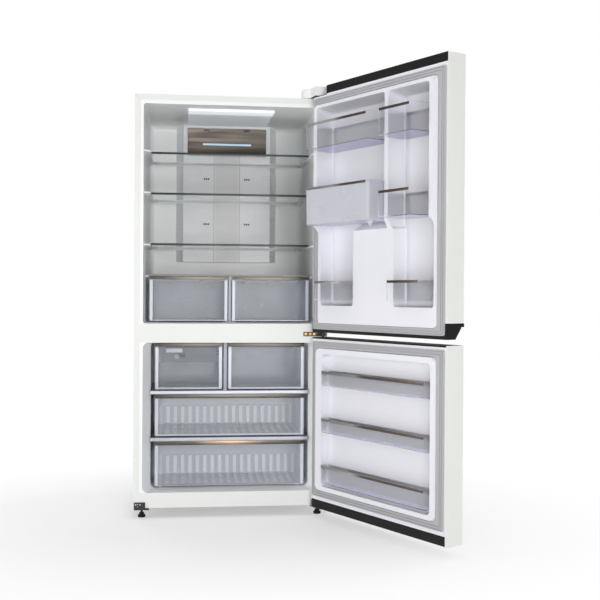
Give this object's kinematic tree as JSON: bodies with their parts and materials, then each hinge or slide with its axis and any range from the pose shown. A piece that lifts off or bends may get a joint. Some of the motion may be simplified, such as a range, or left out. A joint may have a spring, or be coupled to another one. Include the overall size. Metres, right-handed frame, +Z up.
{
  "type": "bottom freezer refrigerator",
  "caption": "Bottom freezer refrigerator with right-hung upper and lower doors, glass shelves, clear crispers and freezer drawers, door bins, a water tank and an outside dispenser.",
  "frame": {"origin": "on the floor, below the middle of the cabinet's front plane", "axes": "+X to the right of a person who faces the refrigerator, +Y to its back, +Z up"},
  "size_m": [1.2422, 1.4352, 1.868],
  "materials": {
    "white_steel": "smooth gloss",
    "back_steel": "satin",
    "zinc_steel": "satin zinc",
    "black_steel": "satin",
    "yellow_screws": "passivated",
    "fin_aluminium": "rolled",
    "liner_plastic": "soft gloss",
    "white_plastic": "soft gloss",
    "black_plastic": "fine grain",
    "grey_trim": "fine grain",
    "dark_trim": "satin",
    "silver_trim": "metallic satin",
    "bronze_plate": "brushed, bronze tone",
    "lamp_lens": "frosted",
    "clear_plastic": "clear moulded",
    "shelf_glass": "clear float",
    "gasket": "soft matt",
    "foam": "cut foam"
  },
  "bodies": {
    "cabinet": {"cabinet_shell": "white_steel", "back_panel": "back_steel", "base_pan": "zinc_steel", "fridge_liner": "liner_plastic", "freezer_liner": "liner_plastic", "cabinet_foam": "foam", "mullion_trim": "white_steel", "kick_panel": "white_steel", "duct_cover": "liner_plastic", "duct_plate": "bronze_plate", "lamp_lenses": "lamp_lens", "crisper_cover": "shelf_glass", "drawer_frames": "silver_trim", "ice_maker_frame": "white_plastic", "evaporator_cover": "liner_plastic", "evaporator": "fin_aluminium", "compressor": "black_steel", "drip_tray": "grey_trim", "compressor_cover": "zinc_steel", "condenser": "black_steel", "top_hinge": "black_steel", "hinge_cover": "white_plastic", "middle_hinge": "black_steel", "bottom_brackets": "black_steel", "hinge_screws": "yellow_screws"},
    "left_foot": {"foot_left": "grey_trim"},
    "right_foot": {"foot_right": "grey_trim"},
    "rollers": {"rear_rollers": "grey_trim"},
    "fan": {"evaporator_fan": "grey_trim"},
    "tray": {"ice_tray": "grey_trim"},
    "shelf_1": {"shelf_1_glass": "shelf_glass", "shelf_1_trim": "dark_trim"},
    "shelf_2": {"shelf_2_glass": "shelf_glass", "shelf_2_trim": "dark_trim"},
    "shelf_3": {"shelf_3_glass": "shelf_glass", "shelf_3_trim": "dark_trim"},
    "left_crisper": {"crisper_left": "clear_plastic"},
    "right_crisper": {"crisper_right": "clear_plastic"},
    "ice_drawer": {"freezer_drawer_upper_left": "clear_plastic"},
    "upper_drawer": {"freezer_drawer_upper_right": "clear_plastic"},
    "middle_drawer": {"freezer_drawer_middle": "clear_plastic"},
    "bottom_drawer": {"freezer_drawer_bottom": "clear_plastic"},
    "upper_door": {"upper_door_skin": "white_steel", "upper_door_caps": "black_plastic", "upper_door_liner": "liner_plastic", "upper_door_foam": "foam", "upper_door_gasket": "gasket", "upper_bin_wide": "clear_plastic", "upper_bins_right": "clear_plastic", "upper_bins_small": "clear_plastic", "water_tank": "clear_plastic", "dispenser_recess": "grey_trim"},
    "lid": {"tank_lid": "white_plastic"},
    "paddle": {"dispenser_paddle": "grey_trim"},
    "lower_door": {"lower_door_skin": "white_steel", "lower_door_caps": "black_plastic", "lower_door_liner": "liner_plastic", "lower_door_foam": "foam", "lower_door_gasket": "gasket", "lower_door_bins": "clear_plastic"}
  },
  "joints": [
    {"name": "upper_door_hinge", "type": "hinge", "parent": "cabinet", "child": "upper_door", "pos_m": [0.395, -0.0465, 1.315], "axis": [0, 0, 1], "range_deg": [-118, 4]},
    {"name": "lower_door_hinge", "type": "hinge", "parent": "cabinet", "child": "lower_door", "pos_m": [0.395, -0.0465, 0.415], "axis": [0, 0, 1], "range_deg": [-118, 4]},
    {"name": "left_crisper_slide", "type": "slide", "parent": "cabinet", "child": "left_crisper", "axis": [0, -1, 0], "range_m": [0, 0.28]},
    {"name": "right_crisper_slide", "type": "slide", "parent": "cabinet", "child": "right_crisper", "axis": [0, -1, 0], "range_m": [0, 0.2]},
    {"name": "ice_drawer_slide", "type": "slide", "parent": "cabinet", "child": "ice_drawer", "axis": [0, -1, 0], "range_m": [0, 0.28]},
    {"name": "upper_drawer_slide", "type": "slide", "parent": "cabinet", "child": "upper_drawer", "axis": [0, -1, 0], "range_m": [0, 0.28]},
    {"name": "middle_drawer_slide", "type": "slide", "parent": "cabinet", "child": "middle_drawer", "axis": [0, -1, 0], "range_m": [0, 0.28]},
    {"name": "bottom_drawer_slide", "type": "slide", "parent": "cabinet", "child": "bottom_drawer", "axis": [0, -1, 0], "range_m": [0, 0.2]},
    {"name": "shelf_1_slide", "type": "slide", "parent": "cabinet", "child": "shelf_1", "axis": [0, -1, 0], "range_m": [0, 0.2]},
    {"name": "shelf_2_slide", "type": "slide", "parent": "cabinet", "child": "shelf_2", "axis": [0, -1, 0], "range_m": [0, 0.2]},
    {"name": "shelf_3_slide", "type": "slide", "parent": "cabinet", "child": "shelf_3", "axis": [0, -1, 0], "range_m": [0, 0.2]},
    {"name": "left_foot_turn", "type": "hinge", "parent": "cabinet", "child": "left_foot", "pos_m": [-0.384, 0.032, 0.03], "axis": [0, 0, 1], "continuous": true},
    {"name": "right_foot_turn", "type": "hinge", "parent": "cabinet", "child": "right_foot", "pos_m": [0.384, 0.032, 0.03], "axis": [0, 0, 1], "continuous": true},
    {"name": "roller_spin", "type": "hinge", "parent": "cabinet", "child": "rollers", "pos_m": [0, 0.59, 0.02], "axis": [1, 0, 0], "continuous": true},
    {"name": "fan_spin", "type": "hinge", "parent": "cabinet", "child": "fan", "pos_m": [0, 0.524, 0.655], "axis": [0, 1, 0], "continuous": true},
    {"name": "ice_tray_twist", "type": "hinge", "parent": "cabinet", "child": "tray", "pos_m": [-0.236, 0.2675, 0.688], "axis": [0, 1, 0], "range_deg": [0, 25], "stiffness_Nm_per_rad": 1.5},
    {"name": "tank_lid_hinge", "type": "hinge", "parent": "upper_door", "child": "lid", "pos_m": [0.51776, -0.28589, 1.414], "axis": [-0.4695, 0.8829, 0], "range_deg": [0, 60]},
    {"name": "dispenser_paddle_press", "type": "hinge", "parent": "upper_door", "child": "paddle", "pos_m": [0.58809, -0.39686, 1.196], "axis": [-0.4695, 0.8829, 0], "range_deg": [0, 12], "stiffness_Nm_per_rad": 0.6}
  ]
}
